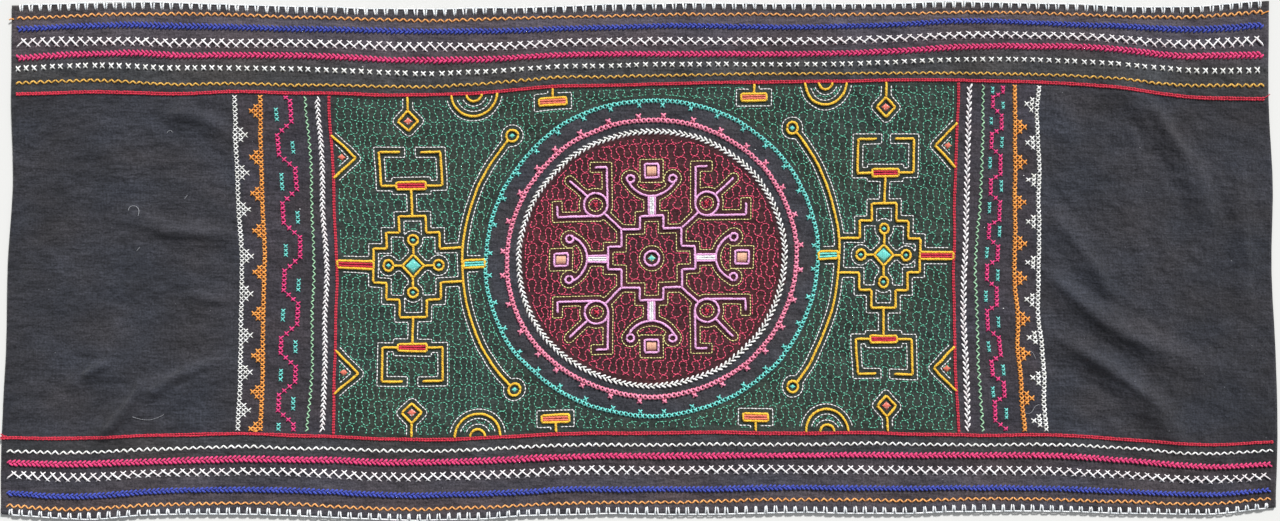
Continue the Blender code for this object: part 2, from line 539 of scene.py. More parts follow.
def spaced(length, pitch):
    """Give evenly spaced places along a length, about a pitch apart, and the real pitch."""
    count = max(1, round(length / pitch))
    return np.arange(count) * length / count, length / count


def strand_paths(course, ends):
    """Turn strands given as (along, beside) ends on a course into flat paths."""
    ends = np.asarray(ends, float)
    share = np.array([0, 0.22, 0.78, 1])[None, :, None]
    local = ends[:, :1] * (1 - share) + ends[:, 1:] * share
    return course.at(local[..., 0], local[..., 1])


def repeated(course, places, start, end):
    """Give the strand between two (along, beside) ends again at each place on a course."""
    shift = np.stack([places, np.zeros(len(places))], 1)[:, None]
    return strand_paths(course, shift + np.array([start, end]))


def zigzag(threads, course, pitch, swing, width):
    """A row of slanted stitches that runs up and down."""
    places, pitch = spaced(course.length, pitch)
    up = repeated(course, places, (0, -swing), (pitch / 2, swing))
    down = repeated(course, places, (pitch / 2, swing), (pitch, -swing))
    threads.add(np.concatenate([up, down]), width, jitter=0.35)


def braid(threads, course, pitch, half_width, width, reach, closed=False):
    """Plaited stitch: strands from both sides take turns to slant in past the middle."""
    length = course.length if closed else course.length - reach + pitch / 2
    places, pitch = spaced(length, pitch)
    for side, start, lift in ((1, 0.0, 0.3), (-1, pitch / 2, 0.0)):
        end = (start + reach, -side * 0.16 * half_width)
        paths = repeated(course, places, (start, side * half_width), end)
        threads.add(paths, width, jitter=0.3, lift=lift)


def herringbone(threads, course, pitch, half_height, overlap, width):
    """Long slanted stitches that cross near both edges of the row."""
    run = pitch / 2 + overlap
    back = run - overlap
    places, _ = spaced(course.length - overlap, pitch)
    rise = repeated(course, places, (0, -half_height), (run, half_height))
    fall = repeated(course, places, (back, half_height), (back + run, -half_height))
    threads.add(rise, width, jitter=0.45)
    threads.add(fall, width, UPPER, jitter=0.45)


def crosses(threads, course, cells, size, width):
    """Cross stitches, with the middle of each given as (along, beside, share of the size)."""
    along, beside, share = np.array(cells, float).T[..., None]
    reach = size / 2 * share * np.array([-1, 1])
    for slope, profile in ((1, ARCHED), (-1, UPPER)):
        ends = np.stack([along + reach, beside + slope * reach], -1)
        threads.add(strand_paths(course, ends), width, profile, jitter=0.25)


def single_crosses(threads, course, pitch, start, stray, size, width):
    """A row of crosses that stand apart, each a little off its even place."""
    places, _ = spaced(course.length, pitch)
    places = places + start + threads.random.uniform(-stray, stray, len(places))
    crosses(threads, course, [(place, 0, 1) for place in places], size, width)


def chain(threads, course, pitch, half_width, width):
    """Chain stitch: each link is a pair of bowed strands that meet at both ends."""
    places, pitch = spaced(course.length, pitch)
    along = places[:, None] + np.array([0, 0.3, 0.75, 1.15]) * pitch
    bow = np.array([0.45, 1.0, 0.9, 0.35]) * half_width
    for side in (1, -1):
        paths = course.at(along, np.broadcast_to(side * bow, along.shape))
        threads.add(paths, width, jitter=0.2)


def stem(threads, course, width, slant=0.5):
    """Stem stitch: slanted strands that overlap into a rope."""
    places, pitch = spaced(course.length, 3.2)
    start = np.clip(places - 0.45 * pitch, -0.3, None)
    end = np.clip(places + 1.55 * pitch, None, course.length + 0.3)
    ends = [[(a, -slant), (b, slant)] for a, b in zip(start, end)]
    threads.add(strand_paths(course, ends), width, jitter=0.15)


def running(threads, course, dash, gap, width, keep):
    """Running stitch: short dashes that follow the course. keep says which may stay."""
    places, pitch = spaced(course.length, dash + gap)
    along = places[:, None] + np.array([0.0, 0.5, 1.0]) * dash / (dash + gap) * pitch
    paths = course.at(along, np.zeros(along.shape))
    paths = paths[keep(paths.reshape(-1, 2)).reshape(len(paths), -1).all(1)]
    threads.add(paths, width, SHORT, sides=4, jitter=0.1, height=0.8)


def satin(threads, centre, half, turned, width):
    """Satin stitch that fills a small square, or a diamond when turned."""
    offsets = np.arange(-half + width * 0.4, half, width * 0.72)
    reach = half - np.abs(offsets) if turned else np.full(len(offsets), half)
    beside = reach[:, None] * (2 * np.array([0, 0.3, 0.7, 1]) - 1)
    along = np.broadcast_to(offsets[:, None], beside.shape)
    threads.add(centre + np.stack([along, beside], -1), width, jitter=0.12)


def blanket(threads, course, pitch, depth, spread, width):
    """Blanket stitch over an edge: narrow V legs, and the thread that runs along the edge."""
    places, pitch = spaced(course.length, pitch)
    places = places + pitch / 2
    legs = [repeated(course, places, (side, -depth), (side * spread, 0.6)) for side in (1, -1)]
    threads.add(np.concatenate(legs), width, jitter=0.45, lift=0.1)
    edge = repeated(course, places[:-1], (0, 0.3), (pitch, 0.3))
    threads.add(edge, width * 0.85, jitter=0.15, lift=-0.1)


# Materials

TWIST = 2.6
WEAVE = 523
COOL_TINT = (0.93, 1.0, 1.09, 1)
WARM_TINT = (1.05, 1.0, 0.97, 1)
LINT = (0.42, 0.43, 0.46, 1)


class Nodes:
    """A short way to add nodes to a material and join them."""

    def __init__(self, name):
        self.material = bpy.data.materials.new(name)
        self.material.use_nodes = True
        self.tree = self.material.node_tree
        self.shader = self.tree.nodes["Principled BSDF"]

    def put(self, node, key, value):
        """Join one of a node's inputs to another node, or set it to a value."""
        if isinstance(value, bpy.types.NodeSocket):
            self.tree.links.new(value, node.inputs[key])
        else:
            node.inputs[key].default_value = value

    def add(self, kind, *values, **named):
        """Add a node with values for its first inputs, its named inputs and its settings."""
        node = self.tree.nodes.new("ShaderNode" + kind)
        for key, value in named.items():
            if key in node.inputs:
                self.put(node, key, value)
            else:
                setattr(node, key, value)
        for key, value in enumerate(values):
            self.put(node, key, value)
        return node.outputs

    def math(self, operation, *values):
        return self.add("Math", *values, operation=operation)[0]

    def mix(self, share, first, second, blend="MIX"):
        node = self.tree.nodes.new("ShaderNodeMix")
        node.data_type = "RGBA"
        node.blend_type = blend
        for key, value in ((0, share), (6, first), (7, second)):
            self.put(node, key, value)
        return node.outputs[2]

    def noise(self, where, scale, detail, stretch=(1, 1, 1)):
        mapping = self.add("Mapping", Vector=where, Scale=stretch)
        return self.add("TexNoise", Vector=mapping[0], Scale=scale, Detail=detail)[0]

    def spread(self, value, low, high, to_low=0.0, to_high=1.0):
        return self.add("MapRange", value, low, high, to_low, to_high)[0]

    def bump(self, height, distance, strength, **normal):
        return self.add("Bump", Height=height, Distance=distance, Strength=strength, **normal)[0]

    def finish(self, colour, roughness, sheen, gloss, **normal):
        """Join all results to the shader and give the material."""
        inputs = {
            "Base Color": colour, "Roughness": roughness, "Sheen Weight": sheen,
            "Specular IOR Level": gloss, **normal,
        }
        for key, value in inputs.items():
            self.put(self.shader, key, value)
        return self.material


def thread_material(colour):
    """Twisted cotton thread of one colour, a little lighter or darker from strand to strand, with
    painted shade in the grooves of its twist and painted highlight on its ridges.
    """
    name = "thread_" + colour
    if name in bpy.data.materials:
        return bpy.data.materials[name]
    nodes = Nodes(name)
    base = linear(COLOURS[colour])
    # A lighter and a darker copy of the colour, mixed by random strand tone and fuzz, and by the
    # painted shade and highlight of the twist below
    light = tuple(np.clip(base * 1.25 + 0.02, 0, 1)) + (1,)
    dark = tuple(base * 0.78) + (1,)
    strand = nodes.add("Attribute", attribute_name="strand")["Vector"]
    along, beside, shade = nodes.add("SeparateXYZ", strand)
    fuzz = nodes.noise(nodes.add("TexCoord")["Object"], 900, 3)
    turn = nodes.math("MULTIPLY_ADD", along, 2 * pi / TWIST, nodes.math("MULTIPLY", beside, 4.2))
    twist_ridges_and_painted_shade = nodes.math("SINE", turn)
    share = nodes.math("MULTIPLY_ADD", shade, 0.3, nodes.spread(fuzz, 0.3, 0.7, 0.2, 0.95))
    # Painted shade and highlight: the colour goes darker towards the grooves of the twist and lighter
    # on its ridges
    share = nodes.math("MULTIPLY_ADD", twist_ridges_and_painted_shade, 0.22, share)
    rough = nodes.math("MULTIPLY_ADD", fuzz, 0.9, twist_ridges_and_painted_shade)
    return nodes.finish(
        nodes.mix(share, dark, light), nodes.spread(fuzz, 0.2, 0.8, 0.72, 0.9), 0.15, 0.25,
        Normal=nodes.bump(rough, 0.0002, 0.8),
    )


def cloth_material():
    """Black cotton: plain weave, slubs, a faded bloom and lint."""
    nodes = Nodes("black_cotton")
    where = nodes.add("TexCoord")["Object"]
    base = nodes.add("Attribute", attribute_name="tone")["Color"]
    bloom = nodes.noise(where, 14, 4)
    slubs = nodes.math("MULTIPLY", nodes.noise(where, 1.0, 3, (500, 60, 1)), 0.6)
    streaks = nodes.math("ADD", nodes.noise(where, 1.0, 3, (45, 420, 1)), slubs)
    level = nodes.spread(streaks, 0.5, 1.1, 0.58, 1.42)
    level = nodes.math("MULTIPLY", level, nodes.spread(bloom, 0.3, 0.7, 0.78, 1.22))
    grain = nodes.spread(nodes.noise(where, 480, 3), 0.3, 0.7, 0.62, 1.38)
    level = nodes.math("MULTIPLY", level, grain)
    grey = nodes.add("CombineColor", level, level, level)[0]
    patch = nodes.spread(nodes.noise(where, 9, 2, (1, 1.6, 1)), 0.35, 0.65)
    for tint in (grey, nodes.mix(patch, COOL_TINT, WARM_TINT)):
        base = nodes.mix(1.0, base, tint, "MULTIPLY")
    for scale, share in ((60.0, 0.30), (120.0, 0.16)):
        cells = nodes.add("TexVoronoi", Vector=where, Scale=scale)
        keep, shade, _ = nodes.add("SeparateColor", cells["Color"])
        radius = nodes.math("MULTIPLY", shade, 0.0006 * scale)
        near = nodes.math("LESS_THAN", cells["Distance"], radius)
        speck = nodes.math("MULTIPLY", near, nodes.math("LESS_THAN", keep, share))
        speck = nodes.math("MULTIPLY", speck, shade)
        base = nodes.mix(nodes.math("MULTIPLY", speck, 0.5), base, LINT)
    waves = [
        nodes.add("TexWave", Vector=where, Scale=WEAVE, bands_direction=way)[1] for way in "XY"
    ]
    weave = nodes.math("MULTIPLY", *waves)
    height = nodes.math("ADD", weave, nodes.math("MULTIPLY", streaks, 0.8))
    normal = nodes.bump(nodes.noise(where, 38, 4, (1, 1.3, 1)), 0.0095, 0.8)
    normal = nodes.bump(nodes.noise(where, 170, 3), 0.0018, 0.5, Normal=normal)
    normal = nodes.bump(height, 0.00022, 0.7, Normal=normal)
    roughness = nodes.spread(bloom, 0.2, 0.8, 0.86, 0.98)
    return nodes.finish(base, roughness, 0.12, 0.2, Normal=normal)


# Cloth


def stations(places, cells):
    """Give mesh stations that run through the places, with cells of about the sizes given."""
    found = []
    for start, end, cell in zip(places, places[1:], cells):
        found += list(np.linspace(start, end, max(1, round((end - start) / cell)) + 1)[:-1])
    return np.array(found + [places[-1]])


def painted_end_shade(along, across):
    """Give the painted shade that darkens the cloth a little towards its ends, most towards the lower
    right end.
    """
    left_end = np.clip((-along - 500) / 250, 0, 1)
    right_end = np.clip((along - 500) / 250, 0, 1)
    low = np.clip((-across - 20) / 190, 0, 1)
    return 1.02 - 0.16 * left_end - (0.18 + 0.2 * low) * right_end


def tone_of(flat):
    """Give the ground colour of each flat point: plain ends, bands, fields and medallion, with
    painted shade towards the ends.
    """
    along, across = flat.T
    between_lines = (across >= BOTTOM_LINE) & (across <= TOP_LINE)
    in_panel = (along > LEFT_LINE) & (along < RIGHT_LINE) & between_lines
    tone = np.tile(linear(PLAIN_TONE), (len(flat), 1))
    tone[(along > LEFT_PANEL_END) & (along < RIGHT_PANEL_END)] = linear(COLUMN_TONE)
    bands = linear(list(BAND_TONES.values())).T
    in_band = across[~between_lines]
    tone[~between_lines] = np.stack([np.interp(in_band, list(BAND_TONES), b) for b in bands], 1)
    tone[in_panel] = linear(GREEN_TONE)
    for ring, colour in ((TURQUOISE_RING, RING_TONE), (CREAM_RING, MAROON_TONE)):
        tone[np.hypot(*((flat - CENTRE) / ring).T) < 1] = linear(colour)
    # Painted shade: the ground colour is darkened towards both ends of the cloth, most at the lower
    # right
    return tone * painted_end_shade(along, across)[:, None]


def make_cloth():
    """Make the cloth as one thin closed sheet with its hems, folds and unevenness."""
    along = stations((-HALF_LENGTH, LEFT_PANEL_END, RIGHT_PANEL_END, HALF_LENGTH), (3.6, 7.5, 3.6))
    low_hem, high_hem = BOTTOM_EDGE + HEM_WIDTH, TOP_EDGE - HEM_WIDTH
    across = stations(
        (BOTTOM_EDGE, low_hem, low_hem + HEM_STEP, high_hem - HEM_STEP, high_hem, TOP_EDGE),
        (3, 2, 4.1, 2, 3),
    )
    flat = np.stack([grid.ravel() for grid in np.meshgrid(along, across)], 1)
    index = np.arange(len(flat)).reshape(len(across), len(along))
    top = np.stack([index[:-1, :-1], index[:-1, 1:], index[1:, 1:], index[1:, :-1]], -1)
    top = top.reshape(-1, 4)
    rim = np.concatenate([index[0], index[1:, -1], index[-1, -2::-1], index[-2:0:-1, 0]])
    after = np.roll(rim, -1)
    under = len(flat)
    sides = np.stack([rim, rim + under, after + under, after], 1)
    points = np.vstack([on_cloth(flat, 0.0), on_cloth(flat, 0.0, of_underside=True)])
    mesh = new_mesh("cloth_face", points, np.vstack([top, top[:, ::-1] + under, sides]))
    tone = mesh.attributes.new("tone", "FLOAT_COLOR", "POINT")
    colours = np.column_stack([tone_of(flat), np.ones(len(flat))])
    tone.data.foreach_set("color", np.vstack([colours, colours]).astype(np.float32).ravel())
    cloth = new_piece("cloth_face", mesh, cloth_material())
    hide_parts("cloth")
    return cloth


# Border rows

ROW_START = -744
ROW_END = 744


def gentle_line(places, steps):
    """Read a smooth line through evenly spaced places, in as many steps."""
    places = np.array(places, float)
    at = np.linspace(0, len(places) - 1, steps)
    return smooth_curves(np.arange(len(places)), places[:, None], at)[:, 0]


def row(*places, backwards=False):
    """A border row through its places across the cloth, at even steps from left to right."""
    points = np.stack([np.linspace(ROW_START, ROW_END, 180), gentle_line(places, 180)], 1)
    return Curve(points[::-1] if backwards else points)


def make_border_rows():
    """Make the stitched rows of the two long borders."""
    return [
        stitched(
            "edging_stitch", "pale_blue", 11, blanket,
            Straight((ROW_START, TOP_EDGE), (ROW_END, TOP_EDGE)),
            Straight((ROW_END, BOTTOM_EDGE), (ROW_START, BOTTOM_EDGE)),
            pitch=11.6, depth=7.3, spread=1.9, width=1.9,
        ),
        stitched(
            "orange_zigzags", "light_orange", 12, zigzag,
            row(288, 291, 290, 289.5, 289, 290.5, 291),
            row(-290, -288, -288, -287.5, -285.5, -286.5, -287.5),
            pitch=8.9, swing=1.9, width=1.8,
        ),
        stitched(
            "blue_braids", "blue", 13, braid,
            row(276, 278, 277.5, 277.5, 277.5, 275, 275.5, 274, 274, 278.5, 278, 278, 277.5),
            row(-275.5, -272, -272.5, -272.5, -271.5, -273, -275.5, backwards=True),
            pitch=5.3, half_width=3.15, width=2.4, reach=5.0,
        ),
        stitched(
            "herringbone_rows", "pale_pink", 14, herringbone,
            row(261.5, 260, 259.5, 261, 260, 257, 257.5, 255, 256, 260.5, 262.5, 261.5, 262.5),
            row(-253, -251.5, -251, -251, -250.5, -252, -256),
            pitch=11.7, half_height=4.9, overlap=5.9, width=1.85,
        ),
        stitched(
            "pink_braids", "hot_pink", 15, braid,
            row(
                244.5, 247, 245.5, 246.5, 244, 242, 241.5, 239.5, 239.5, 245.5, 249.5, 248.5,
                248.5,
            ),
            row(-238.5, -237, -234.5, -234.5, -233.5, -233, -239, backwards=True),
            pitch=5.5, half_width=3.45, width=2.55, reach=5.3,
        ),
        stitched(
            "small_crosses", "cream", 16, single_crosses,
            row(233, 233, 231, 231, 229, 227.5, 228, 226.5, 225.5, 230, 231.5, 232.5, 232.5),
            pitch=10.4, start=2.5, stray=0.8, size=5.9, width=1.85,
        ),
        stitched(
            "yellow_zigzag", "yellow", 17, zigzag,
            row(217.5, 213.5, 214, 214.5, 213.5, 213.5, 217.5),
            pitch=8.7, swing=1.8, width=1.85,
        ),
        stitched(
            "cream_zigzag", "cream", 18, zigzag,
            row(-224.5, -223.5, -221.5, -221.5, -221, -219.5, -220.5),
            pitch=8.9, swing=2.0, width=1.85,
        ),
    ]


def make_framing_lines():
    """Make the red chain-stitched lines that frame the plain ends and the middle panel."""
    red = Threads("red_lines", "red", 21)
    for start, line in ((ROW_START, TOP_LINE), (-752, BOTTOM_LINE)):
        chain(red, Straight((start, line), (ROW_END, line)), 3.3, 1.1, 2.05)
    for line in (LEFT_LINE, RIGHT_LINE):
        chain(red, Straight((line, TOP_LINE - 3), (line, BOTTOM_LINE + 3)), 3.3, 0.9, 1.8)
    return [red.finish()]


# Upright columns beside the middle panel. Each is given by its places along the cloth at
# even steps down it, and is worked downwards, so that beside is towards the right end.

COLUMN_TOP = TOP_LINE - 4
COLUMN_BOTTOM = BOTTOM_LINE + 4


def column(*places, upwards=False):
    """An upright row through its places along the cloth, given from top to bottom."""
    points = np.stack([gentle_line(places, 90), np.linspace(COLUMN_TOP, COLUMN_BOTTOM, 90)], 1)
    return Curve(points[::-1] if upwards else points)


def toothed_column(threads, course, cell, size, width, beside, teeth):
    """A column of crosses with pointed teeth: three crosses beside it, and one beside those."""
    places, cell = spaced(course.length, cell)
    cells = [(place + cell / 2, 0, 1) for place in places]
    for tooth in teeth:
        middle = (int(tooth / cell) + 0.5) * cell
        cells += [(middle + step * cell, beside, 1.04) for step in (-1, 0, 1)]
        cells += [(middle, 1.95 * beside, 1.08)]
    crosses(threads, course, [place for place in cells if place[0] > 0], size, width)


def wave(
    magenta, marks, course, start, step, lobes, slants, slant_steps, sidestep, size, width,
    groups, mark_side, mark_pitch, mark_size, lead=(),
):
    """A wave of crosses, with small groups of crosses beside it across from its lobes.

    Straight lobes lie by turns to the right and the left, joined by slants. lobes says how many
    steps each has, slant_steps how long the steps to the left and to the right are, lead where
    crosses come before the first lobe, and groups where each small group is and how large.
    """
    swing = slants * sidestep / 2
    side = 1
    along = start
    places = list(lead)
    for steps in lobes:
        places += [(along + number * step, side * swing) for number in range(steps + 1)]
        along += steps * step
        slant = slant_steps[0] if side > 0 else slant_steps[1]
        places += [
            (along + number * slant, side * (swing - number * sidestep))
            for number in range(1, slants)
        ]
        along += slants * slant
        side = -side
    places = [(*place, 1) for place in places if 1 < place[0] < course.length - 1]
    crosses(magenta, course, places, size, width)
    places = [
        (middle + (number - (count - 1) / 2) * mark_pitch, side * mark_side, 1)
        for (middle, count), side in zip(groups, [-1, 1] * 8)
        for number in range(count)
    ]
    crosses(marks, course, places, mark_size, 1.45)


def make_columns():
    """Make the upright stitched columns on both sides of the middle panel."""
    white = Threads("white_columns", "cream", 31)
    toothed_column(
        white, column(-476, -476.5, -477.5, -476.2, -476, -474.5, -474.2),
        cell=5.6, size=5.6, width=1.35, beside=5.8,
        teeth=(49.6, 94.6, 139.8, 191.2, 237, 287, 333.6, 381),
    )
    toothed_column(
        white,
        column(
            474.7, 472, 473.3, 475.2, 474.1, 475.3, 474.6, 473.1, 472.5, 474, 474.2, 472.3, 473.8,
        ),
        cell=5.4, size=5.3, width=1.65, beside=-6.7,
        teeth=(26.4, 68.8, 112.8, 160, 206, 251, 293.4, 341, 389.2),
    )
    orange = Threads("orange_columns", "orange", 32)
    toothed_column(
        orange, column(-445.5, -447.6, -449.2, -449, -449.6, -448.4, -448),
        cell=5.5, size=5.3, width=1.75, beside=-5.6,
        teeth=(21.2, 73, 117.6, 165.6, 214.4, 260.4, 315.2, 359.4, 399.8),
    )
    toothed_column(
        orange,
        column(
            444.2, 445.2, 444.6, 445.7, 445.4, 446.5, 445.6, 445.8, 448.6, 446.3, 447.2, 447.2,
            449.5,
        ),
        cell=5.2, size=5.3, width=1.75, beside=5.9,
        teeth=(47.6, 89.4, 135, 182.2, 225.2, 272.8, 313.6, 366),
    )
    magenta = Threads("magenta_waves", "magenta", 33)
    marks = Threads("turquoise_marks", "turquoise", 34)
    wave(
        magenta, marks, column(-419.6, -417.4, -415.6, -416.2, -418, -418.6, -419.5),
        lead=((2.2, 4.2),), start=7.2, step=5.85, lobes=(4, 4, 4, 4, 4, 4, 4, 3, 3, 3, 2),
        slants=3, slant_steps=(5.85, 5.6), sidestep=6.1, size=5.4, width=1.75,
        groups=(
            (23, 3), (63.2, 3), (103.4, 4), (146, 3), (186, 3), (226.8, 3), (264.8, 3),
            (301.2, 3), (336.3, 3), (370, 3), (399, 2),
        ),
        mark_side=8.0, mark_pitch=5.3, mark_size=4.8,
    )
    wave(
        magenta, marks, column(423.8, 421.8, 421.8, 420, 418, 421.4, 421.6),
        start=3.55, step=5.05, lobes=(1, 2, 3, 3, 4, 3, 4, 3, 3, 3, 4, 4, 4, 3, 3, 4, 0),
        slants=2, slant_steps=(3.7, 5.0), sidestep=5.8, size=4.9, width=1.65,
        groups=(
            (7, 2), (24.5, 2), (42.6, 2), (67.6, 3), (91.6, 3), (118, 3), (143.3, 3),
            (171.5, 3), (197, 3), (222, 3), (247.3, 3), (277.2, 3), (304.5, 3), (332.6, 3),
            (358.1, 3), (383, 3),
        ),
        mark_side=7.0, mark_pitch=4.5, mark_size=4.0,
    )
    green = Threads("green_zigzags", "leaf_green", 35)
    zigzag(green, column(-392, -389, -390, -390.5, -391.3, -389.8, -394.5), 7.8, 1.85, 1.5)
    zigzag(green, column(404.7, 405, 403.6, 399.6, 400.3, 399.9, 400.9), 7.85, 2.0, 1.5)
    pale = Threads("pale_braids", "pale_pink", 36)
    course = column(-377, -375.7, -377, -375.2, -376, -374.5, -376.3, upwards=True)
    braid(pale, course, 6.2, 3.1, 1.9, 6.2)
    course = column(387, 386.9, 387.1, 386.3, 383.9, 385.3, 383.4)
    braid(pale, course, 6.9, 3.2, 2.05, 6.7)
    return [part.finish() for part in (white, orange, magenta, marks, green, pale)]


def tufted_ring(threads, course, cell, size, width, tufts, side):
    """A ring of crosses with small single tufts on one side of it."""
    places, pitch = spaced(course.length, cell)
    cells = [(place, 0, 1) for place in places]
    for tuft in range(tufts):
        middle = course.length * (tuft + 0.5) / tufts
        middle = (np.floor(middle / pitch) + 0.5) * pitch
        cells += [(middle, side * size * 1.02, 1.05)]
    crosses(threads, course, cells, size, width)


def make_rings():
    """Make the three rings of the medallion."""
    return [
        stitched(
            "turquoise_ring", "turquoise", 41, tufted_ring, Ring(*TURQUOISE_RING),
            cell=5.7, size=4.9, width=1.75, tufts=36, side=-1,
        ),
        stitched(
            "pink_ring", "ring_pink", 42, tufted_ring, Ring(*PINK_RING),
            cell=5.75, size=5.4, width=2.25, tufts=32, side=1,
        ),
        stitched(
            "cream_ring", "cream", 43, braid, Ring(*CREAM_RING),
            pitch=6.35, half_width=3.3, width=1.95, reach=5.9, closed=True,
        ),
    ]


# Lines of the middle panel: how near each place is to them, and the outlines round them

OUTLINE_OFFSET = 5.8
FAR = 99.0


class Nearness:
    """A grid over the middle panel that keeps how far each place is from the lines added."""

    def __init__(self):
        self.low = np.array([LEFT_LINE - 12.0, BOTTOM_LINE - 12.0])
        self.size = (RIGHT_LINE - LEFT_LINE + 25, TOP_LINE - BOTTOM_LINE + 25)
        self.u = self.low[0] + np.arange(self.size[0])[None, :]
        self.v = self.low[1] + np.arange(self.size[1])[:, None]
        self.away = np.full(self.size[::-1], FAR)

    def add(self, points, margin=0.0):
        """Take in the lines between points. Those along the grid get square corners."""
        for start, end in zip(points, points[1:]):
            low, high = np.minimum(start, end), np.maximum(start, end)
            first = np.clip(np.floor(low - self.low - 16).astype(int), 0, self.size)
            last = np.clip(np.ceil(high - self.low + 16).astype(int), 0, self.size)
            columns, lines = (slice(*span) for span in zip(first, last))
            u, v = self.u[:, columns], self.v[lines]
            if (high - low).min() < 1e-6:
                beside = np.maximum(low[0] - u, u - high[0])
                away = np.maximum(np.maximum(beside, np.maximum(low[1] - v, v - high[1])), 0)
            else:
                away, _ = from_segment(u, v, start, end)
            block = self.away[lines, columns]
            np.minimum(block, away - margin, out=block)

    def in_ring(self, ring):
        """Say which places of the grid lie in a ring."""
        return np.hypot((self.u - CENTRE[0]) / ring[0], (self.v - CENTRE[1]) / ring[1]) < 1

    def at(self, flat, values=None):
        """Read the grid, or other values on it, at flat points."""
        values = self.away if values is None else values
        place = np.clip(flat - self.low, 0, np.array(self.size) - 1.001)
        corner = place.astype(int)
        right, top = (place - corner).T
        column, line = corner.T
        lower = values[line, column] * (1 - right) + values[line, column + 1] * right
        upper = values[line + 1, column] * (1 - right) + values[line + 1, column + 1] * right
        return lower * (1 - top) + upper * top

    def outlines(self, level):
        """Trace where the distance crosses a level, as chains of flat points."""
        inside = self.away < level
        corners = np.stack([inside[:-1, :-1], inside[:-1, 1:], inside[1:, 1:], inside[1:, :-1]])
        joined = {}
        for line, column in np.argwhere((corners != corners[0]).any(0)):
            sides = (
                ("right", line, column), ("up", line, column + 1),
                ("right", line + 1, column), ("up", line, column),
            )
            around = corners[:, line, column]
            changes = around != np.roll(around, -1)
            crossed = [side for side, change in zip(sides, changes) if change]
            for first, second in zip(crossed[::2], crossed[1::2]):
                joined.setdefault(first, []).append(second)
                joined.setdefault(second, []).append(first)

        def place_of(side):
            way, line, column = side
            start = self.away[line, column]
            end = self.away[line, column + 1] if way == "right" else self.away[line + 1, column]
            part = (level - start) / (end - start)
            step = (part, 0) if way == "right" else (0, part)
            return self.low + (column + step[0], line + step[1])

        chains = []
        while joined:
            side = next(iter(joined))
            passed = [side]
            while side in joined:
                following = [other for other in joined.pop(side) if other in joined]
                if following:
                    side = following[0]
                    passed.append(side)
            points = np.array([place_of(side) for side in passed])
            chains.append(np.vstack([points, points[:1]]))
        return chains


def arc(centre, radius, start=0, end=360):
    """Give points round an arc, from one angle to another in degrees."""
    steps = max(6, int(abs(end - start) / 9) + 1)
    angle = np.radians(np.linspace(start, end, steps))
    return np.array(centre) + radius * np.stack([np.cos(angle), np.sin(angle)], 1)


class Drawing:
    """Lines stitched in one thread, with each place put on the cloth by a turn or mirror."""

    def __init__(self, threads, nearness, width):
        self.threads = threads
        self.nearness = nearness
        self.width = width
        self.place = None

    def line(self, *points):
        """Stitch straight lines from point to point."""
        points = self.place(np.array(points, float))
        for start, end in zip(points, points[1:]):
            stem(self.threads, Straight(start, end), self.width)
        self.nearness.add(points)

    def curve(self, points):
        """Stitch one smooth line through close points."""
        points = self.place(points)
        stem(self.threads, Curve(points), self.width)
        self.nearness.add(points)

    def bar(self, start, end, filling, half_width=4.2):
        """Stitch a narrow bar outlined in this thread and filled with two lines of another."""
        start, end = np.array(start, float), np.array(end, float)
        run = (end - start) / np.hypot(*(end - start))
        side = np.array([-run[1], run[0]]) * half_width
        self.line(start + side, end + side, end - side, start - side, start + side)
        for share in (0.36, -0.36):
            ends = self.place(np.array([start + share * side, end + share * side]))
            stem(filling, Straight(*ends), 2.3, slant=0.3)

    def square(self, centre, half, turned=False):
        """Stitch a square, or a diamond when turned."""
        corners = [(1, 1), (-1, 1), (-1, -1), (1, -1), (1, 1)]
        if turned:
            corners = [(1, 0), (0, 1), (-1, 0), (0, -1), (1, 0)]
        self.line(*(np.array(centre) + half * np.array(corners, float)))

    def fill(self, filling, centre, half, turned=True, width=1.3):
        """Fill a small diamond, or a square, with satin stitch in another thread."""
        satin(filling, self.place(np.array([centre], float))[0], half, turned, width)


# The field on both sides of the medallion, drawn as one quarter: how far from the upright
# framing line, and how far up from the middle of the panel

RIGHT_SHRINK = 0.912


def field_place(side, upper):
    """Give the function that puts points of the quarter on one of the four quarters."""

    def place(points):
        across = points[:, 1] * (1 if upper else BOTTOM_LINE / TOP_LINE)
        if side < 0:
            return np.stack([LEFT_LINE + points[:, 0], across], 1)
        return np.stack([RIGHT_LINE - RIGHT_SHRINK * points[:, 0], across], 1)

    return place


def draw_field_quarter(gold, red, pink, turquoise):
    """Stitch one quarter of the field: stepped diamond, fret, arc and smaller figures."""
    gold.line(
        (44, 4), (44, 20), (60, 20), (60, 40), (76, 40), (76, 60), (108, 60), (108, 40),
        (124, 40), (124, 20), (150, 20),
    )
    gold.line((92, 60), (92, 92))
    gold.bar((75, 96), (109, 96), red)
    gold.line((75, 96), (56, 96), (56, 136), (80, 136))
    gold.line((109, 96), (128, 96), (128, 136), (104, 136))
    gold.line((0, 102), (28, 128), (0, 154))
    angle = np.radians(np.linspace(0, 42, 30))
    gold.curve(np.stack([376 - 226 * np.cos(angle), 217 * np.sin(angle)], 1))
    gold.curve(arc((213, 150), 7))
    gold.curve(arc((170, 203), 27, 180, 360))
    gold.curve(arc((170, 203), 9, 180, 360))
    gold.line((92, 202), (92, 185))
    gold.square((92, 173), 12, turned=True)
    gold.line((262, 202), (262, 190))
    gold.bar((246, 186), (278, 186), pink)
    gold.curve(arc((92, 31), 6))
    gold.line((92, 13), (92, 25))
    gold.line((92, 13), (79, 0))
    gold.line((92, 13), (105, 0))
    gold.fill(pink, (92, 173), 5, width=1.5)
    gold.fill(turquoise, (92, 31), 2.6)
    gold.fill(turquoise, (213, 150), 3.2)
    gold.fill(pink, (11, 128), 4.5, width=1.5)


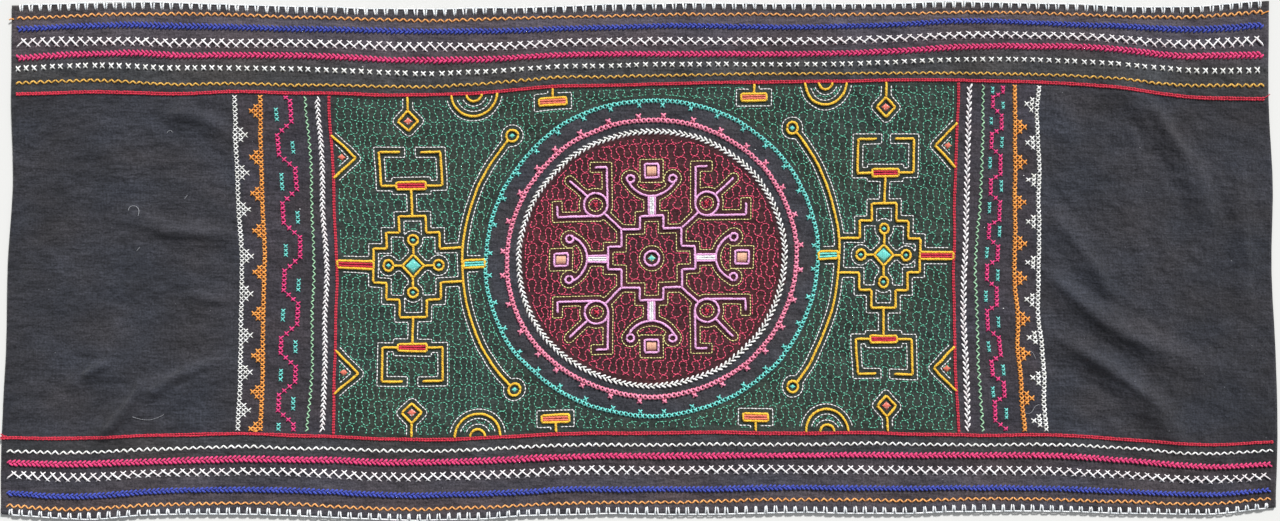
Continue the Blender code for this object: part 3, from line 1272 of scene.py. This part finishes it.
def draw_field_axis(gold, red, turquoise):
    """Stitch what lies on the middle of the panel, once for each side."""
    gold.bar((1, 0), (44, 0), red)
    gold.bar((152, 0), (177, 0), turquoise)
    gold.line((79, 0), (68, 0))
    gold.line((105, 0), (116, 0))
    gold.curve(arc((62, 0), 6))
    gold.curve(arc((122, 0), 6))
    for middle, half in ((92, 9), (62, 2.6), (122, 2.6)):
        gold.fill(turquoise, (middle, 0), half)


# The medallion, drawn as one quarter and turned into four


def medallion_place(turns):
    """Give the function that turns points of the first quarter round the medallion."""
    turn = np.array([[cos(turns * pi / 2), -sin(turns * pi / 2)],
                     [sin(turns * pi / 2), cos(turns * pi / 2)]])

    def place(points):
        return points @ turn.T * (1, 0.96) + CENTRE

    return place


def draw_medallion_quarter(violet, white, peach, red):
    """Stitch one quarter of the medallion: stepped frame, anchor, circle and hooks."""
    violet.line((52, 0), (52, 14), (36, 14), (36, 36), (14, 36), (14, 52), (0, 52))
    violet.line((14, 52), (-14, 52))
    violet.bar((0, 53), (0, 77), white, 3.8)
    violet.curve(arc((0, 107), 30, 205, 335))
    for side in (1, -1):
        violet.curve(arc((side * 25, 98), 4.5))
    violet.line((36, 36), (56, 56))
    violet.curve(arc((66, 66), 14))
    violet.line((76, 76), (97, 97))
    violet.line((52, 66), (52, 112), (66, 112))
    violet.line((66, 52), (112, 52), (112, 66))
    violet.square((0, 108), 8)
    violet.fill(peach, (0, 108), 5.5, turned=False, width=1.5)
    course = Straight(*violet.place(np.array([(60.0, 66.0), (72.0, 66.0)])))
    crosses(red, course, [(6, 0, 1)], 5, 1.7)


class Filler:
    """Small dashes that wind in looping rows between the outlines."""

    RADIUS = 4.75
    LEAN = radians(37)
    ROW = 16.3
    DRIFT = 7.0

    def __init__(self, lines, edges, margin, needed, seed):
        self.grid = lines
        self.room = np.minimum(lines.away - OUTLINE_OFFSET, edges.away - margin)
        self.needed = needed
        slope_v, slope_u = np.gradient(self.room)
        steep = np.maximum(np.hypot(slope_u, slope_v), 0.2)
        self.slopes = (slope_u / steep, slope_v / steep)
        self.random = np.random.default_rng(seed)

    def looped_row(self, length):
        """Give the points of one row of loops, as long as asked."""
        chord = 2 * self.RADIUS * cos(self.LEAN)
        rise = self.RADIUS * sin(self.LEAN)
        angles = np.linspace(pi + self.LEAN, -self.LEAN, 22)[:-1]
        points = []
        for number in range(int(length / chord) + 1):
            side = 1 if number % 2 == 0 else -1
            along = number * chord + self.RADIUS * np.cos(angles)
            points.append(np.stack([along, side * (rise + self.RADIUS * np.sin(angles))], 1))
        return np.concatenate(points)

    def stitch(self, threads, low, high, dash, gap, width):
        """Fill a box with rows of loops, pushed aside where they have too little room."""
        low, high = np.array(low, float), np.array(high, float)
        size = high - low
        rows = int(size[1] / self.ROW) + 1
        for number in range(rows):
            points = self.looped_row(size[0] + 20)
            points[:, 0] -= self.random.uniform(0, 16)
            points[:, 1] += (number + 0.5) * size[1] / rows + self.random.uniform(-0.7, 0.7)
            points = points + low
            drift = [value_noise(seed, *points.T, 31, 31) - 0.5 for seed in (71, 72)]
            points = points + self.DRIFT * np.stack(drift, 1)
            for _ in range(2):
                lack = np.clip(self.needed - self.grid.at(points, self.room), 0, 2.2)
                push = [self.grid.at(points, slope) for slope in self.slopes]
                points = points + lack[:, None] * np.stack(push, 1)

            def keep(flat):
                in_box = ((flat > low) & (flat < high)).all(1)
                return in_box & (self.grid.at(flat, self.room) > self.needed - 0.35)

            running(threads, Curve(points), dash, gap, width, keep)


def stitch_outlines(threads, lines, edges, dash, gap, width, edge_room):
    """Stitch dashed outlines round all lines, but not close to the edges of their part."""
    for points in lines.outlines(OUTLINE_OFFSET):
        course = Curve(points)
        if course.length > 13:
            running(threads, course, dash, gap, width, lambda flat: edges.at(flat) > edge_room)


def field_edges():
    """Give how far each place of the field is from the framing lines and the outer ring."""
    edges = Nearness()
    left, right, low, high = LEFT_LINE, RIGHT_LINE, BOTTOM_LINE, TOP_LINE
    edges.add([(left, low), (right, low), (right, high), (left, high), (left, low)])
    edges.add(Ring(*TURQUOISE_RING, steps=180).points, 0.8)
    outside = (edges.u < left) | (edges.u > right) | (edges.v < low) | (edges.v > high)
    edges.away[edges.in_ring(TURQUOISE_RING) | outside] = 0
    return edges


def medallion_edges():
    """Give how far each place of the medallion is from the cream ring round it."""
    edges = Nearness()
    edges.add(Ring(*CREAM_RING, steps=180).points, 4.5)
    edges.away[~edges.in_ring(CREAM_RING)] = 0
    return edges


def make_field():
    """Make the field's gold lines, their fillings and outlines, and its green filler."""
    gold_thread = Threads("gold_lines", "gold", 51)
    red = Threads("red_fillings", "red", 52)
    pink = Threads("pink_fillings", "salmon", 53)
    turquoise = Threads("turquoise_fillings", "turquoise", 54)
    lines = Nearness()
    gold = Drawing(gold_thread, lines, 2.6)
    for side in (-1, 1):
        for upper in (True, False):
            gold.place = field_place(side, upper)
            draw_field_quarter(gold, red, pink, turquoise)
        draw_field_axis(gold, red, turquoise)
    edges = field_edges()
    outlines = Threads("white_outlines", "white", 55)
    stitch_outlines(outlines, lines, edges, 3.9, 0.45, 1.65, 4.0)
    filler = Filler(lines, edges, 4.0, 2.0, 56)
    parts = [gold_thread, red, pink, turquoise, outlines]
    for name, start, end in (
        ("left_green_filler", LEFT_LINE, CENTRE[0]), ("right_green_filler", CENTRE[0], RIGHT_LINE),
    ):
        green = Threads(name, "teal_green", 57)
        filler.stitch(green, (start, BOTTOM_LINE), (end, TOP_LINE), 3.0, 0.9, 1.35)
        parts.append(green)
    return [part.finish() for part in parts]


def make_medallion():
    """Make the medallion's violet lines, their fillings and outlines, and its red filler."""
    violet_thread = Threads("violet_lines", "violet", 81)
    white = Threads("white_fillings", "white", 82)
    peach = Threads("peach_fillings", "peach", 83)
    red = Threads("red_crosses", "red", 84)
    turquoise = Threads("turquoise_centre", "turquoise", 85)
    lines = Nearness()
    violet = Drawing(violet_thread, lines, 2.4)
    for turns in range(4):
        violet.place = medallion_place(turns)
        draw_medallion_quarter(violet, white, peach, red)
    violet.curve(arc((0, 0), 9))
    satin(turquoise, CENTRE, 4.5, True, 1.4)
    edges = medallion_edges()
    outlines = Threads("straw_outlines", "straw", 86)
    stitch_outlines(outlines, lines, edges, 3.1, 0.55, 1.5, 2.5)
    crimson = Threads("crimson_filler", "crimson", 88)
    filler = Filler(lines, edges, 1.0, 2.2, 87)
    filler.stitch(crimson, CENTRE - CREAM_RING, CENTRE + CREAM_RING, 3.1, 0.4, 1.6)
    parts = (violet_thread, white, peach, red, turquoise, outlines, crimson)
    return [part.finish() for part in parts]


# Loose ends and lint: the start of each, the place that it is drawn towards, and its end

ORANGE_ENDS = (
    ((-747.5, 286.5), (-750.5, 288.5), (-753, 286), 1.5),
    ((741, 288.5), (746, 291), (750, 291.5), 1.3),
)
RED_ENDS = (
    ((741, 204), (747, 206), (751, 208.5), 1.3),
    ((-744, -206), (-748, -206), (-751, -203), 1.6),
)
HAIRS = (
    ((-609, 63), (-609, 70), (-601, 69)),
    ((-601, 69), (-594, 66), (-597, 57)),
    ((-561, 157), (-557, 163), (-553, 158)),
    ((-599, 14.5), (-597, 17), (-595.5, 19.3)),
    ((-542.5, 76.6), (-541, 79), (-538.8, 81.3)),
    ((-597, -184), (-578, -194), (-561, -183.5)),
    ((460.4, -110.5), (465, -112), (465.9, -119)),
    ((451, -181.8), (457, -184), (460.6, -177)),
    ((460.6, -177), (463, -172.5), (467.2, -172.4)),
)
KNOTS = (
    (-323.4, 235.2), (-373.6, 274.9), (456.1, 95.2), (409.8, 33), (431.7, -61.2),
    (-404.4, 64.5), (135.6, 124.5),
)


def lay_hair(threads, line, width, lift):
    """Lay one loose bit of thread on the cloth."""
    threads.add([bent_line(*line, 9)], width, HAIR, sides=4, jitter=0.0, lift=lift)


def make_loose_ends():
    """Make the ends that stand out at the edges, and the hairs and knots on the face."""
    orange = Threads("loose_orange_ends", "orange", 91)
    red = Threads("loose_red_ends", "red", 92)
    for threads, ends in ((orange, ORANGE_ENDS), (red, RED_ENDS)):
        for *line, width in ends:
            lay_hair(threads, line, width, 0.3)
    lint = Threads("lint", "lint", 93)
    for line in HAIRS:
        lay_hair(lint, line, 0.55, 0.2)
    knots = Threads("white_knots", "white", 94)
    for along, across in KNOTS:
        paths = [[(along - 0.7, across), (along, across + 0.2), (along + 0.7, across)]]
        knots.add(paths, 1.5, SHORT, sides=4, jitter=0.1)
    return [part.finish() for part in (orange, red, lint, knots)]


# Floor, light and camera

FLOOR_REACH = 6.0
FLOOR_COLOUR = (0.70, 0.694, 0.672, 1)
SKY_COLOUR = (0.93, 0.96, 1.0, 1)


def make_stage():
    """Make the plain pale floor, soft light from the upper right and the camera above."""
    mesh = bpy.data.meshes.new("floor")
    corners = [(x * FLOOR_REACH, y * FLOOR_REACH, 0) for x, y in ((-1, -1), (1, -1), (1, 1), (-1, 1))]
    mesh.from_pydata(corners, [], [(0, 1, 2, 3)])
    mesh.materials.append(Nodes("pale_floor").finish(FLOOR_COLOUR, 0.9, 0.0, 0.5))
    floor = put_in_scene("floor", mesh)
    floor.location.z = -0.0005
    floor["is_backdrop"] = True

    sun = bpy.data.lights.new("sun", "SUN")
    sun.energy = 4.9
    sun.angle = radians(9)
    put_in_scene("sun", sun).rotation_euler = (radians(-49), radians(31), 0)
    world = bpy.data.worlds.new("soft_sky")
    world.use_nodes = True
    background = world.node_tree.nodes["Background"]
    background.inputs["Color"].default_value = SKY_COLOUR
    background.inputs["Strength"].default_value = 0.42
    scene = bpy.context.scene
    scene.world = world
    scene.view_settings.view_transform = "Standard"

    camera = bpy.data.cameras.new("camera")
    camera.sensor_width = 36
    camera.lens = 40
    camera.clip_end = 50
    height = PHOTO_WIDTH * PHOTO_PIXEL * MM * camera.lens / camera.sensor_width
    scene.camera = put_in_scene("camera", camera)
    scene.camera.location = (SHIFT[0] * MM, SHIFT[1] * MM, height)


make_stage()
cloth = make_cloth()
stitching = (
    make_border_rows() + make_framing_lines() + make_columns() + make_rings()
    + make_field() + make_medallion() + make_loose_ends()
)

[[list(corner) for corner in box] for box in (CAD_BOX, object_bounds())]
